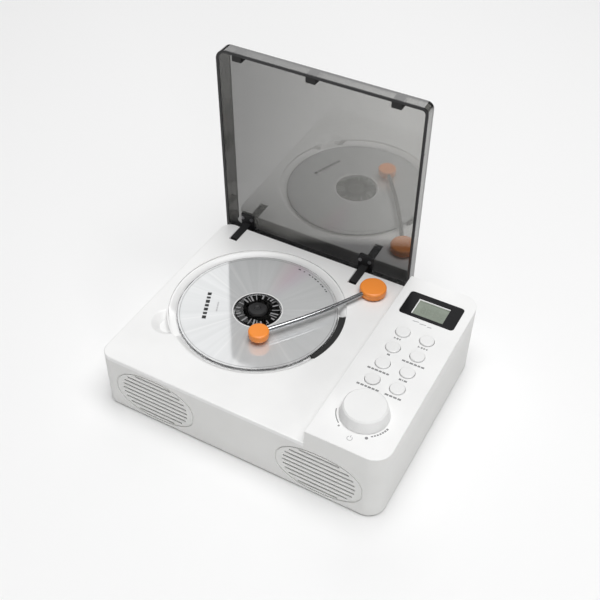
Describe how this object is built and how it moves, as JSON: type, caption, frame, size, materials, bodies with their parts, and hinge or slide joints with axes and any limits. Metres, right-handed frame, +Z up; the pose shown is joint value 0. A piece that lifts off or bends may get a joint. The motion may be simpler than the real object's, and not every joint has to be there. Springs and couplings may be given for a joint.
{
  "type": "disc player",
  "caption": "Desktop disc player with a raised smoked lid, swinging arm over the disc, side control panel and twin front speaker grilles.",
  "frame": {"origin": "on the table, at the middle of the object's box with the lid raised", "axes": "+X along the front towards the control panel, +Y from the front to the lid hinge, +Z up"},
  "size_m": [0.22, 0.1808, 0.2067],
  "materials": {
    "case_plastic": "fine spark-eroded white plastic",
    "deck_plastic": "satin white plastic",
    "cover_plastic": "textured pale grey plastic",
    "button_plastic": "satin white plastic",
    "black_plastic": "gloss black plastic",
    "dark_plastic": "matte black plastic",
    "smoke_acrylic": "smoked clear plastic, polished",
    "orange_plastic": "satin orange plastic",
    "lcd_glass": "grey-green display glass",
    "lcd_white": "white display frame",
    "disc_mirror": "mirror aluminium under clear plastic",
    "steel": "ground steel",
    "arm_chrome": "polished tube",
    "screw_steel": "zinc plated",
    "motor_can": "drawn steel can",
    "magnet": "ferrite and zinc plate",
    "paper_cone": "pressed paper cone",
    "grille_fabric": "black woven cloth",
    "rubber": "soft black rubber",
    "board_green": "green circuit board",
    "gear_nylon": "natural nylon",
    "battery_wrap": "blue shrink wrap"
  },
  "bodies": {
    "case": {"lower_case": "case_plastic", "bottom_cover": "cover_plastic", "feet": "rubber", "cover_screws": "screw_steel", "top_deck": "deck_plastic", "disc_well": "deck_plastic", "arc_pad": "rubber", "panel_cover": "deck_plastic", "lcd_bezel": "black_plastic", "lcd_glass": "lcd_glass", "lcd_module": "lcd_white", "panel_board": "board_green", "key_switches": "dark_plastic", "board_screws": "screw_steel", "encoder": "motor_can", "grille_cloth_left": "grille_fabric", "grille_cloth_right": "grille_fabric", "speaker_frame_left": "dark_plastic", "speaker_frame_right": "dark_plastic", "speaker_cone_left": "paper_cone", "speaker_cone_right": "paper_cone", "speaker_magnet_left": "magnet", "speaker_magnet_right": "magnet", "speaker_screws": "screw_steel", "hinge_pins": "steel", "arm_bush": "button_plastic", "drive_chassis": "dark_plastic", "dampers": "rubber", "chassis_screws": "screw_steel", "spindle_motor": "motor_can", "guide_rails": "steel", "feed_motor": "motor_can", "main_board": "board_green", "rear_jacks": "dark_plastic", "battery_pack": "battery_wrap"},
    "lid": {"lid_shell": "smoke_acrylic", "hinge_leg_left": "dark_plastic", "hinge_leg_right": "dark_plastic", "lid_bumpers": "rubber", "leg_screws": "screw_steel"},
    "tonearm": {"arm_shaft": "steel", "arm_cap": "orange_plastic", "arm_tube": "arm_chrome", "arm_head": "orange_plastic"},
    "disc_drive": {"spindle": "steel", "turntable": "dark_plastic", "disc": "disc_mirror"},
    "volume": {"knob": "button_plastic", "knob_shaft": "steel"},
    "pickup": {"pickup_sled": "dark_plastic", "pickup_lens": "lcd_glass"},
    "feed_gear": {"feed_pinion": "gear_nylon"},
    "power_switch": {"power_slider": "button_plastic"},
    "button_1": {"key_1": "button_plastic"},
    "button_2": {"key_2": "button_plastic"},
    "button_3": {"key_3": "button_plastic"},
    "button_4": {"key_4": "button_plastic"},
    "button_5": {"key_5": "button_plastic"},
    "button_6": {"key_6": "button_plastic"},
    "button_7": {"key_7": "button_plastic"},
    "button_8": {"key_8": "button_plastic"}
  },
  "joints": [
    {"name": "lid_hinge", "type": "hinge", "parent": "case", "child": "lid", "pos_m": [-0.038, 0.07415, 0.043], "axis": [1, 0, 0], "range_deg": [0, 88.5]},
    {"name": "tonearm_swing", "type": "hinge", "parent": "case", "child": "tonearm", "pos_m": [0.032, 0.06015, 0.055], "axis": [0, 0, 1], "range_deg": [-8, 32]},
    {"name": "disc_spin", "type": "hinge", "parent": "case", "child": "disc_drive", "pos_m": [-0.036, 0.00415, 0.045], "axis": [0, 0, 1], "continuous": true},
    {"name": "volume_turn", "type": "hinge", "parent": "case", "child": "volume", "pos_m": [0.0813, -0.05885, 0.062], "axis": [0, 0, 1], "range_deg": [-150, 150]},
    {"name": "button_1_press", "type": "slide", "parent": "case", "child": "button_1", "axis": [0, 0, -1], "range_m": [0, 0.001], "stiffness_N_per_m": 300},
    {"name": "button_2_press", "type": "slide", "parent": "case", "child": "button_2", "axis": [0, 0, -1], "range_m": [0, 0.001], "stiffness_N_per_m": 300},
    {"name": "button_3_press", "type": "slide", "parent": "case", "child": "button_3", "axis": [0, 0, -1], "range_m": [0, 0.001], "stiffness_N_per_m": 300},
    {"name": "button_4_press", "type": "slide", "parent": "case", "child": "button_4", "axis": [0, 0, -1], "range_m": [0, 0.001], "stiffness_N_per_m": 300},
    {"name": "button_5_press", "type": "slide", "parent": "case", "child": "button_5", "axis": [0, 0, -1], "range_m": [0, 0.001], "stiffness_N_per_m": 300},
    {"name": "button_6_press", "type": "slide", "parent": "case", "child": "button_6", "axis": [0, 0, -1], "range_m": [0, 0.001], "stiffness_N_per_m": 300},
    {"name": "button_7_press", "type": "slide", "parent": "case", "child": "button_7", "axis": [0, 0, -1], "range_m": [0, 0.001], "stiffness_N_per_m": 300},
    {"name": "button_8_press", "type": "slide", "parent": "case", "child": "button_8", "axis": [0, 0, -1], "range_m": [0, 0.001], "stiffness_N_per_m": 300},
    {"name": "pickup_slide", "type": "slide", "parent": "case", "child": "pickup", "axis": [-1, 0, 0], "range_m": [0, 0.031]},
    {"name": "feed_gear_turn", "type": "hinge", "parent": "case", "child": "feed_gear", "pos_m": [-0.07, -0.02345, 0.034], "axis": [0, 0, 1], "range_deg": [0, 296.2]},
    {"name": "power_slide", "type": "slide", "parent": "case", "child": "power_switch", "axis": [1, 0, 0], "range_m": [0, 0.003]}
  ],
  "couplings": [
    {"joint": "feed_gear_turn", "follows": "pickup_slide", "rad_per_m": 166.67}
  ]
}
